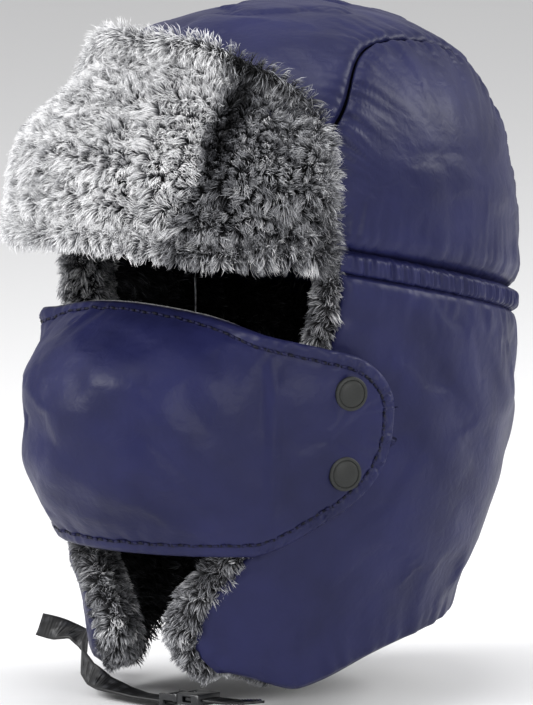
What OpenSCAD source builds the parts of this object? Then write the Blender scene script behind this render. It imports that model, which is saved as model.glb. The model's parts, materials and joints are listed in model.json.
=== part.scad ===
// Trapper hat with turned-up fur brim, ear flaps, snap-on face mask and chin strap.
// Front of the hat faces -Y, the wearer's left is +X. The origin is the middle of the head opening.

/* [Hat] */
// Half width of the hat at the band
hat_half_w = 98; // [94:1:102]
// Half length of the hat at the band
hat_half_l = 118; // [114:1:122]
// Height of the crown above the middle of the band
crown_h = 117; // [112:1:122]
// Backward slope of the band in degrees
band_tilt = 13; // [8:1:16]
// Half width of the crown's top panel
top_panel_half_w = 58; // [50:1:60]

/* [Layers] */
// Thickness of the nylon with its quilting
nylon_t = 1.4; // [1:0.1:2]
// Thickness of the wadding
wadding_t = 6; // [4:0.5:8]
// Thickness of the fur lining with its pile
lining_t = 9; // [7:0.5:11]
// Air left between two layers
gap = 0.8; // [0.6:0.1:1]

/* [Brim] */
// Thickness of the turned-up brim at its fullest
brim_t = 22; // [18:1:24]
// Height of the brim's upper edge above the origin
brim_top = 113; // [104:1:115]

/* [Mask] */
// How far the mask stands out over the nose and mouth
mask_bulge = 21; // [14:1:24]
// Thickness of the mask's nylon outside
mask_t = 1.2; // [1:0.1:1.4]

/* [Snaps] */
// Diameter of a snap cap
cap_d = 15.5; // [14:0.5:16]
// Diameter of a snap stud
stud_d = 4.2; // [3.6:0.2:4.6]

/* [Chin strap] */
// Width of the webbing
web_w = 11; // [9:1:11]
// Thickness of the webbing
web_t = 1.2; // [1:0.1:1.3]

/* [Hidden] */

around = 44;          // columns round a full layer
crown_n = 2.9;        // boxiness of the crown
flap_low = -188;      // height of the chin end of the flaps
opening_top = 29;     // angle of the face opening's edge at the band
band_half = 4.5;      // half height of the gathered band
in1 = nylon_t + gap;
in2 = in1 + wadding_t + gap;
in3 = in2 + lining_t;

function clamp01(v) = min(1, max(0, v));
function smooth(v) = clamp01(v) * clamp01(v) * (3 - 2 * clamp01(v));
function mix(a, b, f) = a + (b - a) * f;
// Height of the band's middle line at a place y
function band_z(y) = -tan(band_tilt) * y;

// A closed solid between an outer and an inner grid of points, both rows x cols.
// wrap joins the last column to the first.
function grid_faces(rows, cols, wrap, base, flip) = [
    for (i = [0 : rows - 2], j = [0 : cols - (wrap ? 1 : 2)])
        let (k = (j + 1) % cols, a = base + i * cols + j, b = base + i * cols + k,
            c = base + (i + 1) * cols + k, d = base + (i + 1) * cols + j)
        each (flip ? [[a, c, b], [a, d, c]] : [[a, b, c], [a, c, d]])];
function rim_faces(list_a, list_b) = [
    for (i = [0 : len(list_a) - 2])
        each [[list_b[i], list_a[i], list_a[i + 1]], [list_b[i], list_a[i + 1], list_b[i + 1]]]];
module shell(outer, inner, wrap = false) {
    rows = len(outer);
    cols = len(outer[0]);
    n = rows * cols;
    pts = concat([for (r = outer) each r], [for (r = inner) each r]);
    first = [for (j = [0 : cols - 1]) j];
    last = [for (j = [0 : cols - 1]) (rows - 1) * cols + j];
    left = [for (i = [0 : rows - 1]) i * cols];
    right = [for (i = [0 : rows - 1]) i * cols + cols - 1];
    loop_first = wrap ? concat(first, [0]) : first;
    loop_last = wrap ? concat(last, [(rows - 1) * cols]) : last;
    function up(l) = [for (v = l) v + n];
    faces = concat(grid_faces(rows, cols, wrap, 0, false),
        grid_faces(rows, cols, wrap, n, true),
        rim_faces(up(loop_first), loop_first),
        rim_faces(loop_last, up(loop_last)),
        wrap ? [] : rim_faces(left, up(left)),
        wrap ? [] : rim_faces(up(right), right));
    polyhedron(pts, faces, convexity = 8);
}

// Crown surface: th runs round from +X through the front, t from the band up to the top
function crown_g(t) = pow(max(0, 1 - pow(clamp01(t), crown_n)), 1 / crown_n);
// The forehead of the crown leans back as it rises
function lean(th, t) = 1 - 0.13 * smooth(t / 0.9) * smooth(sin(th) / 0.8);
function crown_base(th) = band_z(-hat_half_l * sin(th)) + band_half;
function crown_pt(th, t, off) =
    let (g = crown_g(t) * (1 - 0.045 * exp(-pow(t / 0.05, 2))))
    [(hat_half_w - off) * g * cos(th), -(hat_half_l - off) * g * lean(th, t) * sin(th),
        mix(crown_base(th), crown_h - off, t)];
// The seams of the top panel: s runs from -1 at the forehead to 1 at the nape
function seam_half(y) = top_panel_half_w + 20 * smooth((10 - y) / 100) - 4 * smooth(y / 90);
function seam_x(s, q) = q * seam_half(hat_half_l * s);
// The angle and the height fraction of the point that is a share q of the way out to the seam
function top_th(s, q) = let (x = seam_x(s, q) / hat_half_w) atan2(-sqrt(1 - x * x) * s, x);
function top_t(s, q) =
    let (x = seam_x(s, q) / hat_half_w, g = min(1, norm([x, sqrt(1 - x * x) * s])))
    pow(1 - pow(g, crown_n), 1 / crown_n);
function t_angle(t) = asin(pow(t, crown_n / 2));

// A closed cap between two domed grids whose columns go all round and whose rows run up to the top
module dome(outer, inner) {
    rows = len(outer);
    n = rows * around;
    pts = concat([for (r = outer) each r], [for (r = inner) each r]);
    loop = [for (j = [0 : around]) j % around];
    faces = concat(grid_faces(rows, around, true, 0, true), grid_faces(rows, around, true, n, false),
        rim_faces(loop, [for (v = loop) v + n]),
        [[for (j = [around - 1 : -1 : 0]) (rows - 1) * around + j]],
        [[for (j = [0 : around - 1]) n + (rows - 1) * around + j]]);
    polyhedron(pts, faces, convexity = 8);
}
dome_rows = 8;
function dome_grid(o) = [for (i = [0 : dome_rows])
    let (t = pow(sin(88.6 * i / dome_rows), 2 / crown_n))
    [for (j = [0 : around - 1]) crown_pt(-360 * j / around, t, o)]];
module crown_layer(o1, o2) { dome(dome_grid(o1), dome_grid(o2)); }

top_rows = 26;
top_cols = 12;
function top_panel_grid(o) = [for (i = [0 : top_rows]) let (s = sin(mix(-89.5, 89.5, i / top_rows)))
    [for (j = [0 : top_cols]) let (q = mix(-0.992, 0.992, j / top_cols))
        crown_pt(top_th(s, q), top_t(s, q), o)]];
module crown_top_panel() { color("#3d3d63") shell(top_panel_grid(nylon_t), top_panel_grid(0)); }
side_cols = 22;
side_rows = 8;
function side_panel_grid(side, o) = [for (i = [0 : side_rows]) [for (j = [0 : side_cols])
    let (s = 0.985 * sin(mix(-90, 90, j / side_cols)),
        th0 = -abs(s) * sign(s) * acos(seam_half(sign(s) * hat_half_l) / hat_half_w),
        th = mix(th0, top_th(s, 1.008), i / side_rows),
        t = pow(sin(mix(0, t_angle(top_t(s, 1.008)), i / side_rows)), 2 / crown_n),
        p = crown_pt(th, t, o))
    [side * p[0], p[1], p[2]]]];
module crown_side(side) {
    if (side > 0) shell(side_panel_grid(1, nylon_t), side_panel_grid(1, 0));
    else shell(side_panel_grid(-1, 0), side_panel_grid(-1, nylon_t));
}
module crown_side_panel_left() { color("#45456c") crown_side(1); }
module crown_side_panel_right() { color("#45456c") crown_side(-1); }
module crown_wadding() { color("white") crown_layer(in1, in1 + wadding_t); }
module crown_lining() { color("#3a3a3e") crown_layer(in2, in3); }

// Outer surface of the flaps: half width, half length and centre at height z
function flap_scale(z) = 1 - 0.025 * smooth(-z / 40) - 0.21 * smooth((-40 - z) / 190) - 0.06 * smooth((-95 - z) / 80);
function flap_yc(z) = -12 * smooth((-30 - z) / 150);
function flap_pt(th, z, off) =
    let (s = flap_scale(z))
    [(hat_half_w * s - off) * cos(th), flap_yc(z) - (hat_half_l * s - off) * sin(th), z];
// Angle of the flap's front edge, from the temple to the chin and round its lower corner
function edge_th(z) = opening_top + 6 * smooth((-z) / 60) + 32 * smooth((-80 - z) / 85)
    - 12 * smooth((flap_low + 24 - z) / 20);
function flap_top(th) = band_z(-hat_half_l * sin(th)) - band_half - 0.3;
function flap_bottom(th) = mix(flap_low + 26, flap_low, smooth((th + 60) / 120)) + 12 * smooth((th - 38) / 24);
// One column of the flaps: p is 0 at the front edge and 1 at the middle of the back
function flap_col(p, side, o, back_off = 0) = [for (i = [0 : 12])
    let (f = i / 12, th0 = mix(opening_top, -90, p), z0 = flap_top(th0),
        z1 = flap_bottom(mix(64, -90, p)), z = mix(z0, z1, f), th = mix(edge_th(z) - back_off * (1 + 2.2 * smooth((-100 - z) / 60)), -90, p),
        q = flap_pt(th, z, o))
    [side * q[0], q[1], q[2]]];
half_cols = 18;
function flap_cols(o, back_off = 0) = concat(
    [for (j = [0 : half_cols]) flap_col(pow(j / half_cols, 1.15), 1, o, back_off)],
    [for (j = [half_cols - 1 : -1 : 0]) flap_col(pow(j / half_cols, 1.15), -1, o, back_off)]);
module flap_layer(o1, o2, back_off = 0) { shell(flap_cols(o2, back_off), flap_cols(o1, back_off)); }
module flap_shell() { color("#35364f") flap_layer(0, nylon_t); }
module flap_wadding() { color("white") flap_layer(in1, in1 + wadding_t, 1); }
module flap_fur_lining() { color("#6b6b6f") flap_layer(in2, in3 + 2, -3); }

// Gathered band: the casing and the elastic run round the back from temple to temple
function band_pt(th, h, off) =
    [(hat_half_w - off) * cos(th), -(hat_half_l - off) * sin(th),
        band_z(-hat_half_l * sin(th)) + h];
module band_strip(th0, th1, h0, h1, o1, o2, cols) {
    function grid(o) = [for (h = [h1, 0.5 * (h0 + h1), h0]) [for (j = [0 : cols])
        band_pt(mix(th0, th1, j / cols), h, o)]];
    shell(grid(o1), grid(o2));
}
module band_casing() {
    color("#33335a") band_strip(opening_top, -180 - opening_top, 0.3 - band_half, band_half - 0.3, 2, 3.2, 48);
}
module elastic_band() {
    color("white") band_strip(opening_top + 1, -181 - opening_top, 1 - band_half, band_half - 1, 3.6, 5, 48);
}
module brim_seam_tape() {
    color("#33335a") band_strip(180 - opening_top - 3, opening_top + 3, 0.3 - band_half, band_half - 0.3, 0.6, 2, 24);
}

// Blank label folded into the lining, standing out from the wall at the right of the hat
module care_label() {
    color("white") translate([-73.5, 18, -30]) rotate([0, 0, -48]) cube([12, 1.2, 16]);
}

// Turned-up brim: r is the distance out from the crown, h runs 0 to 1 from its lower to its upper edge
brim_end = opening_top + 1;
function brim_side(th) = clamp01((min(th, 180 - th) - brim_end) / 22);
function brim_round(f) = pow(1 - pow(1 - f, 2.4), 1 / 2.4);
function brim_low(th) = band_z(-(hat_half_l + brim_t) * sin(th)) - 12;
function brim_high(th) = mix(brim_low(th), brim_top, mix(0.5, 1, brim_round(brim_side(th))));
function brim_pt(th, z, r) =
    let (z0 = crown_base(th), t = clamp01((z - z0) / (crown_h - z0)), g = max(0.77, crown_g(t)) * lean(th, t))
    [(hat_half_w + r) * max(0.77, crown_g(t)) * cos(th), -(hat_half_l + r) * g * sin(th), z];
module brim_layer(r1, r2, inset_low, inset_high, inset_end) {
    function grid(r) = [for (i = [0 : 11]) [for (j = [0 : 26])
        let (th = mix(brim_end + inset_end, 180 - brim_end - inset_end, j / 26),
            z = mix(brim_low(th) + inset_low, brim_high(th) - inset_high, i / 11))
        brim_pt(th, z, r)]];
    shell(grid(r2), grid(r1));
}
// The fur's section is rounded: it is fullest half way up and thin at its edges
module brim_fur() {
    cols = 36;
    function section(th) = [for (k = [0 : 15])
        let (a = 360 * k / 16, c = cos(a), q = sin(a), e = 0.94, z0 = brim_low(th), z1 = brim_high(th),
            t = (brim_t - 9) * mix(0.72, 1, brim_round(brim_side(th))),
            r = 9.4 + t * 0.5 * (1 + sign(c) * pow(abs(c), e)),
            z = 0.5 * (z0 + z1) + 0.5 * (z1 - z0) * sign(q) * pow(abs(q), e))
        brim_pt(th, z, r)];
    sections = [for (j = [0 : cols]) section(mix(180 - brim_end, brim_end, j / cols))];
    color("#9a9aa0") tube(sections);
}
// A solid through a row of closed sections
module tube(sections) {
    m = len(sections[0]);
    last = len(sections) - 1;
    pts = [for (q = sections) each q];
    faces = concat(
        [for (i = [0 : last - 1], k = [0 : m - 1])
            let (a = i * m + k, b = i * m + (k + 1) % m)
            each [[a, b, b + m], [a, b + m, a + m]]],
        [[for (k = [m - 1 : -1 : 0]) k]], [[for (k = [0 : m - 1]) last * m + k]]);
    polyhedron(pts, faces, convexity = 8);
}
module brim_pad() { color("white") brim_layer(5, 7.6, 8, 9, 3); }
module brim_backing() { color("#33335a") brim_layer(2.6, 3.5, 3, 4, 1.5); }

// Face mask: th runs from its near end through the nose to its far end
mask_gap = 2.8;       // room between the wings and the flaps, taken up by the snaps
mask_end = 16;        // angle of the ends of the wings
mask_mid_z = -60;     // height of the middle of the wings' ends
pad_t = 1.6;
soft_t = 0.8;
function mask_high(th) = -7 - 24 * pow(abs(90 - th) / 68, 1.7);
function mask_low(th) = -120 + 27 * smooth((abs(90 - th) - 40) / 36);
function mask_side(th) = max(0.0, min(th, 180 - th) - mask_end);
function mask_round(th) = pow(1 - pow(1 - clamp01(mask_side(th) / 13), 2.5), 1 / 2.5);
function mask_front(k) = -26 * pow(1 - clamp01(k / 0.42), 2) + mask_bulge * smooth(k / 0.3)
    * (1 - smooth((k - 0.62) / 0.38));
function mask_pt(th, k, off) =
    let (z0 = mask_high(th), z1 = mask_low(th), z = mask_mid_z + (mix(z0, z1, k) - mask_mid_z) * mask_round(th),
        q = flap_pt(th, z, -mask_gap - off), f = smooth((sin(th) - 0.7) / 0.29))
    [q[0], q[1] - f * mask_front(k), z];
mask_cols = 34;
mask_rows = 11;
function mask_th(j, inset) = let (c = cos(180 * j / mask_cols))
    90 - (90 - mask_end - inset) * sign(c) * pow(abs(c), 0.8);
module mask_layer(o1, o2, rim) {
    function grid(o) = [for (i = [0 : mask_rows]) [for (j = [0 : mask_cols])
        mask_pt(mask_th(j, 0.12 + rim), mix(0.01 + rim / 60, 0.99 - rim / 60, i / mask_rows), o)]];
    shell(grid(o1), grid(o2));
}
skin = pad_t + soft_t + 1;
module mask_shell() { color("#35365a") mask_layer(skin, skin + mask_t, 0); }
module mask_padding() { color("white") mask_layer(soft_t + 0.5, soft_t + pad_t + 0.5, 0.4); }
module mask_lining() { color("#4a4a55") mask_layer(0, soft_t, 0.2); }
// Sewn line 5 mm inside the mask's edge
module mask_topstitching() {
    o = skin + mask_t;
    function edge_ring(k0, r) = concat(
        [for (j = [0 : mask_cols]) mask_pt(mask_th(j, 3.2), k0, r)],
        [for (j = [mask_cols : -1 : 0]) mask_pt(mask_th(j, 3.2), 1 - k0, r)]);
    color("#1d1d33")
        shell([edge_ring(0.05, o + 0.05), edge_ring(0.06, o + 0.05)],
            [edge_ring(0.05, o + 0.45), edge_ring(0.06, o + 0.45)], true);
}

// Snap fasteners: two on each wing, standing square to the flap
snap_th = 28;
snap_z = [-45.5, -82];
module at_snaps() {
    for (side = [-1, 1], z = snap_z)
        let (q = flap_pt(snap_th, z, 0), s = flap_scale(z),
            turn = atan2(-sin(snap_th) / (hat_half_l * s), cos(snap_th) / (hat_half_w * s)))
        mirror([side < 0 ? 1 : 0, 0, 0]) translate(q) rotate([0, 0, turn]) rotate([0, 90, 0]) children();
}
cap_z = mask_gap + skin + mask_t + 0.05;
module snap_caps() {
    color("#2e302f") at_snaps() rotate_extrude($fn = 40) polygon([[0, mask_gap - 0.6], [1.5, mask_gap - 0.6],
        [1.5, cap_z], [cap_d / 2 - 0.6, cap_z], [cap_d / 2, cap_z + 0.6], [cap_d / 2, cap_z + 1.1],
        [cap_d / 2 - 0.9, cap_z + 1.8], [cap_d / 2 - 3, cap_z + 2.3], [0, cap_z + 2.6]]);
}
module snap_sockets() {
    color("#1c1d1d") at_snaps() translate([0, 0, 0.8]) difference() {
        cylinder(h = mask_gap - 1.3, r = 6, $fn = 40);
        translate([0, 0, -1]) cylinder(h = mask_gap - 0.9, r = 4.4, $fn = 40);
    }
}
module snap_studs() {
    color("#1c1d1d") at_snaps() {
        translate([0, 0, -4.2]) cylinder(h = 4.2, r = 1.4, $fn = 32);
        cylinder(h = 0.5, r = 5, $fn = 40);
        cylinder(h = 1.4, r = stud_d / 2, $fn = 32);
    }
}
module snap_washers() {
    color("#1c1d1d") at_snaps() translate([0, 0, -3.8]) difference() {
        cylinder(h = 1, r = 5.5, $fn = 40);
        translate([0, 0, -1]) cylinder(h = 3, r = 1.4, $fn = 32);
    }
}

// Chin strap: the buckle lies level under the chin, its length along X
buckle_at = [13, -80, -189];
buckle_w = 15;
buckle_h = 5;
socket_l = 13;
plug_l = 11;
wall = 1.1;
// A flat strap through its stations, each [middle, direction of its width]
function cross3(a, b) = [a[1] * b[2] - a[2] * b[1], a[2] * b[0] - a[0] * b[2], a[0] * b[1] - a[1] * b[0]];
module strap(stations, w, t) {
    last = len(stations) - 1;
    sections = [for (i = [0 : last])
        let (p = stations[i][0], a = stations[max(0, i - 1)][0], b = stations[min(last, i + 1)][0],
            along = (b - a) / norm(b - a), side0 = stations[i][1], side = side0 / norm(side0),
            up0 = cross3(along, side), up = up0 / norm(up0))
        [p - side * w / 2 - up * t / 2, p - side * w / 2 + up * t / 2,
            p + side * w / 2 + up * t / 2, p + side * w / 2 - up * t / 2]];
    tube(sections);
}
web_low = -2.8;       // the webbing's height under the middle of the male half
module near_strap() {
    color("#18181a") strap([
        [buckle_at + [socket_l + 0.2, 0, 0], [0, 1, 0]], [buckle_at + [socket_l + 4, 0, 0], [0, 1, 0]],
        [[38, -77, -189.4], [0.1, 1, 0]], [[45, -71, -189.6], [0.35, 1, 0]]], web_w, web_t);
}
module far_strap() {
    color("#18181a") strap([
        [buckle_at + [-4, 0, web_low], [0, 1, 0]], [buckle_at + [-plug_l - 5, 0, web_low], [0, 1, 0]],
        [buckle_at + [-plug_l - 18, 0, web_low], [0, 1, 0]],
        [[-26, -80, -190.6], [-0.1, 1, 0.1]], [[-39, -79, -188.8], [-0.15, 1, 0.4]],
        [[-51, -75.5, -186], [-0.2, 0.6, 1]], [[-62.5, -68.5, -182.6], [-0.1, 0.2, 1]],
        [[-71.5, -58.5, -179.4], [-0.05, 0.1, 1]], [[-77.8, -49.5, -177.6], [0, 0.1, 1]]], web_w, web_t);
}
// Free end of the webbing: it runs on past the right flap, twists and flares out
module strap_tail() {
    color("#18181a") strap([
        [[-78.4, -48.5, -177.4], [0, 0.1, 1]], [[-82.5, -45, -175.8], [0.3, 0.7, 0.7]],
        [[-87, -44.5, -175], [0.2, 1, 0.2]], [[-93, -46.5, -174], [0.2, 0.8, 0.6]],
        [[-99, -49, -172.8], [0.2, 0.2, 1]], [[-105, -51.5, -171.5], [0.4, 0, 1]]], web_w, web_t);
}
// Bar tacks that hold the webbing to the hem of each flap
module strap_stitches() {
    color("#101012") {
        translate([44, -71.5, -189]) rotate([0, 0, -50]) cube([8, 1, 2.2], center = true);
        translate([-61.8, -67.2, -182.4]) rotate([0, 0, 40]) cube([1, 3.4, 7], center = true);
    }
}
// Female half: a flat sleeve with open side windows and a bar for the webbing
window_x = [3, 5.4];  // start and length of the side windows
guide_w = 2.4;
module buckle_socket() {
    inner_w = buckle_w - 2 * wall;
    inner_h = buckle_h - 2 * wall;
    color("#202124") translate(buckle_at) difference() {
        translate([0, -buckle_w / 2, -buckle_h / 2]) cube([socket_l, buckle_w, buckle_h]);
        translate([-1, -inner_w / 2, -inner_h / 2]) cube([socket_l - 3, inner_w, inner_h]);
        translate([window_x[0], -buckle_w / 2 - 1, -inner_h / 2]) cube([window_x[1], buckle_w + 2, inner_h]);
        translate([2.6, 0, 0]) cylinder(h = buckle_h, r = 1.9, $fn = 32);
    }
}
// Male half: the plate, a centre guide and the ladder bars that grip the webbing
module buckle_plug() {
    rail_w = 1.6;
    bar_l = buckle_w - 2;
    color("#202124") translate(buckle_at) {
        translate([-3, -buckle_w / 2, 0.7 - buckle_h / 2]) cube([2.7, buckle_w, buckle_h - 1.4]);
        translate([-0.4, -guide_w / 2, -0.8]) cube([9, guide_w, 1.6]);
        for (y = [-buckle_w / 2, buckle_w / 2 - rail_w]) {
            translate([-plug_l, y, -1.6]) cube([plug_l - 2.5, rail_w, 2.9]);
            translate([-plug_l, y, -4.8]) cube([2.2, rail_w, 3.4]);
        }
        for (x = [-plug_l, 3.8 - plug_l]) translate([x, -bar_l / 2, -1.6]) cube([1.7, bar_l, 2.1]);
        translate([-plug_l, -bar_l / 2, -4.8]) cube([2.2, bar_l, 1.1]);
    }
}
prong_y = 4.5;        // how far a prong's hinge stands from the buckle's middle line
module buckle_prong(side) {
    color("#202124") translate(buckle_at) mirror([0, side < 0 ? 1 : 0, 0])
        linear_extrude(height = 2, center = true)
            polygon([[-0.15, prong_y - 0.8], [2.9, prong_y - 0.5], [7.6, prong_y + 0.2],
                [7.6, prong_y + 1.3], [6, prong_y + 1.7], [3.9, prong_y + 1.7],
                [3.1, prong_y + 0.8], [-0.15, prong_y + 0.8]]);
}
module buckle_prong_front() { buckle_prong(-1); }
module buckle_prong_back() { buckle_prong(1); }

crown_top_panel();
crown_side_panel_left();
crown_side_panel_right();
crown_wadding();
crown_lining();
band_casing();
elastic_band();
flap_shell();
flap_wadding();
flap_fur_lining();
care_label();
brim_fur();
brim_pad();
brim_backing();
brim_seam_tape();
mask_shell();
mask_padding();
mask_lining();
mask_topstitching();
snap_caps();
snap_sockets();
snap_studs();
snap_washers();
near_strap();
buckle_socket();
buckle_plug();
buckle_prong_front();
buckle_prong_back();
far_strap();
strap_tail();
strap_stitches();
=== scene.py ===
import json
import math

import bpy
import numpy as np
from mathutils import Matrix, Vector, kdtree
from mathutils.bvhtree import BVHTree

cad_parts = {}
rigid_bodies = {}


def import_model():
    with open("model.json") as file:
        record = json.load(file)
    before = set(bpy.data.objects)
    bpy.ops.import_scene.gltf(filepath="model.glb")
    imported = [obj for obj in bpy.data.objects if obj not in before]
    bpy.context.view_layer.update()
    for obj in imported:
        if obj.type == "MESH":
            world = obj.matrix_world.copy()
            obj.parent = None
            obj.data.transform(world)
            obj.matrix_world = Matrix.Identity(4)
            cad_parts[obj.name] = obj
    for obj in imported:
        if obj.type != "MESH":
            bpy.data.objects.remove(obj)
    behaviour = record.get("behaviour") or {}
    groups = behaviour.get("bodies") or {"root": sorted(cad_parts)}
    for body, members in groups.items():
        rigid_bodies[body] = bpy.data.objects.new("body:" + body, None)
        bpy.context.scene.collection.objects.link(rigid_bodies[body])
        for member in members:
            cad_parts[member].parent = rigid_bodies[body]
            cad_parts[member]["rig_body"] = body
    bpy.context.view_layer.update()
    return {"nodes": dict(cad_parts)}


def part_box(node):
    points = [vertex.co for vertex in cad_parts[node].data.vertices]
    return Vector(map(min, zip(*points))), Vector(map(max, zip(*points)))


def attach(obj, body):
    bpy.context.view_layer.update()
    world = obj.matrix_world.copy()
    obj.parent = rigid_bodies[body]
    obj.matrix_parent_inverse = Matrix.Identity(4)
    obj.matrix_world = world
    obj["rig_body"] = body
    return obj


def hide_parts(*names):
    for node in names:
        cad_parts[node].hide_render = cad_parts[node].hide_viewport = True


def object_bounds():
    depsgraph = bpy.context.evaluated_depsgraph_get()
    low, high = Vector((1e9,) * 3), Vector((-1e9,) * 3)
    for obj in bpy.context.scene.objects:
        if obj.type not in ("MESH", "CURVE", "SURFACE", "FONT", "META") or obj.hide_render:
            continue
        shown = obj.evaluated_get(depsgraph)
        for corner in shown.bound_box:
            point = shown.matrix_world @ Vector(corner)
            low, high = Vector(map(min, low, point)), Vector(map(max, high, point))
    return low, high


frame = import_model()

scene = bpy.context.scene
bpy.ops.object.select_all(action="DESELECT")

# The crown is three panels of light navy nylon: a long one over the top and one on each
# side. Each is sewn to the next over a layer of wadding, so it swells between its seams and
# puckers beside them. Its shape is a boxy dome that leans back over the forehead.
half_w, half_l, top_h = 98.0, 118.0, 117.0  # millimetres, as every size here
boxiness = 2.9
band_slope = math.tan(math.radians(13))
band_half = 4.5
nylon_swell = 7.0


def smooth(v):
    v = np.clip(v, 0, 1)
    return v * v * (3 - 2 * v)


def mix(a, b, f):
    return a + (b - a) * f


def band_height(th):
    """The height of the band's middle line. th runs from the left ear through the forehead."""
    return band_slope * half_l * np.sin(th)


def crown_width(t):
    return np.maximum(0, 1 - np.clip(t, 0, 1) ** boxiness) ** (1 / boxiness)


def lean_back(th, t):
    return 1 - 0.13 * smooth(t / 0.9) * smooth(np.sin(th) / 0.8)


def crown_skin(th, t, deep=0.0):
    """Points of the crown: t is 0 at the band and 1 at the top."""
    g = crown_width(t) * (1 - 0.045 * np.exp(-((t / 0.05) ** 2)))
    base = band_height(th) + band_half
    return np.stack([(half_w - deep) * g * np.cos(th),
                     -(half_l - deep) * g * lean_back(th, t) * np.sin(th),
                     mix(base, top_h - deep, t)], -1)


def seam_half(y):
    """Half the width of the top panel at a place from the forehead (-) to the nape (+)."""
    return 58 + 20 * smooth((10 - y) / 100) - 4 * smooth(y / 90)


def top_panel_place(s, q):
    """The th and t of a place on the top panel: s is -1 to 1 along it and q across it."""
    x = q * seam_half(half_l * s) / half_w
    side = np.sqrt(np.maximum(0, 1 - x * x))
    g = np.minimum(1, np.hypot(x, side * s))
    return np.arctan2(-side * s, x), (1 - g ** boxiness) ** (1 / boxiness)


def measured(points):
    """Lengths along the rows and the columns of a grid of points, in mm."""
    along = np.linalg.norm(np.diff(points, axis=1), axis=2)
    across = np.linalg.norm(np.diff(points, axis=0), axis=2)
    along = np.concatenate([np.zeros((points.shape[0], 1)), np.cumsum(along, 1)], 1)
    across = np.concatenate([np.zeros((1, points.shape[1])), np.cumsum(across, 0)], 0)
    return along, across


def face_out(points):
    """Unit normals of a grid of points, turned away from the middle of the head."""
    n = np.cross(np.gradient(points, axis=1), np.gradient(points, axis=0))
    n /= np.linalg.norm(n, axis=2, keepdims=True) + 1e-9
    away = points - np.array([0, 0, np.clip(points[..., 2].mean(), -150, 20)])
    return n if (n * away).sum() > 0 else -n


def ripple(s, pitch, seed):
    """An uneven ripple along a seam, about -1 to 1, with crests some pitch mm apart."""
    draw = np.random.default_rng(seed)
    total = np.zeros_like(s)
    for _ in range(6):
        total = total + np.sin(2 * np.pi * s / (pitch * draw.uniform(0.6, 1.9))
                               + draw.uniform(0, 6.3))
    return np.tanh(total / 1.9)


def run_of(line):
    """How far along a line each of its points lies."""
    return np.concatenate([[0], np.cumsum(np.linalg.norm(np.diff(line, axis=0), axis=1))])


def seams_of(points, sides):
    """For each point, its distance from the nearest sewn edge and its place along that edge."""
    rim = {"first": points[0], "last": points[-1], "start": points[:, 0], "end": points[:, -1]}
    tree = kdtree.KDTree(sum(len(rim[s]) for s in sides))
    places, count, walked, apart = [], 0, 0.0, 500
    for name in sides:
        steps = run_of(rim[name])
        for p, d in zip(rim[name], steps):
            tree.insert(p, count)
            places.append(walked + d)
            count += 1
        walked += steps[-1] + apart
    tree.balance()
    flat = points.reshape(-1, 3)
    found = [tree.find(p) for p in flat]
    distance = np.array([f[2] for f in found]).reshape(points.shape[:2])
    place = np.array([places[f[1]] for f in found]).reshape(points.shape[:2])
    return distance, place


def pucker(points, sides, dip, roll, ruck, pitch, reach, seed, waves=0.9):
    """Sinks a panel's sewn edges by dip over roll mm, with puckers that fade over reach mm."""
    distance, place = seams_of(points, sides)
    along, across = measured(points)
    edge = 1 - np.minimum(distance / roll, 1)
    rise = -dip * (1 - np.sqrt(1 - edge ** 2))
    rise += (ruck * np.exp(-distance / reach) * (1 - np.exp(-distance / 1.2))
             * ripple(place, pitch, seed))
    rise += (0.8 * ruck * np.exp(-distance / (3 * reach)) * (1 - np.exp(-distance / 4))
             * ripple(place + 0.3 * distance, 3.2 * pitch, seed + 1))
    calm = 1 - np.exp(-distance / 14)
    rise += (waves * calm * ripple(along + 0.5 * across, 70, seed + 2)
             * ripple(across - 0.3 * along, 55, seed + 3))
    return points + face_out(points) * rise[..., None]


def read(mesh, what):
    """The places ("co") or normals of a mesh's corners, a row for each."""
    values = np.zeros(len(mesh.vertices) * 3, np.float32)
    mesh.vertices.foreach_get(what, values)
    return values.reshape(-1, 3)


def sew(name, points):
    """A panel cut from a flat grid and taken to its points. Its UV map is in metres of cloth."""
    rows, cols = points.shape[:2]
    bpy.ops.mesh.primitive_grid_add(x_subdivisions=cols - 1, y_subdivisions=rows - 1, size=1)
    piece = bpy.context.object
    piece.name = piece.data.name = name
    mesh = piece.data
    flat = read(mesh, "co")
    j = np.rint((flat[:, 0] + 0.5) * (cols - 1)).astype(int)
    i = np.rint((flat[:, 1] + 0.5) * (rows - 1)).astype(int)
    mesh.vertices.foreach_set("co", (points[i, j] * 0.001).astype(np.float32).ravel())
    along, across = measured(points)
    corner = np.zeros(len(mesh.loops), np.int32)
    mesh.loops.foreach_get("vertex_index", corner)
    uv = np.stack([along[i, j], across[i, j]], 1)[corner] * 0.001
    mesh.uv_layers[0].data.foreach_set("uv", uv.astype(np.float32).ravel())
    mesh.update()
    out = face_out(points)[i, j]
    if (read(mesh, "normal") * out).sum() < 0:
        mesh.flip_normals()
    return piece


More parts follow.
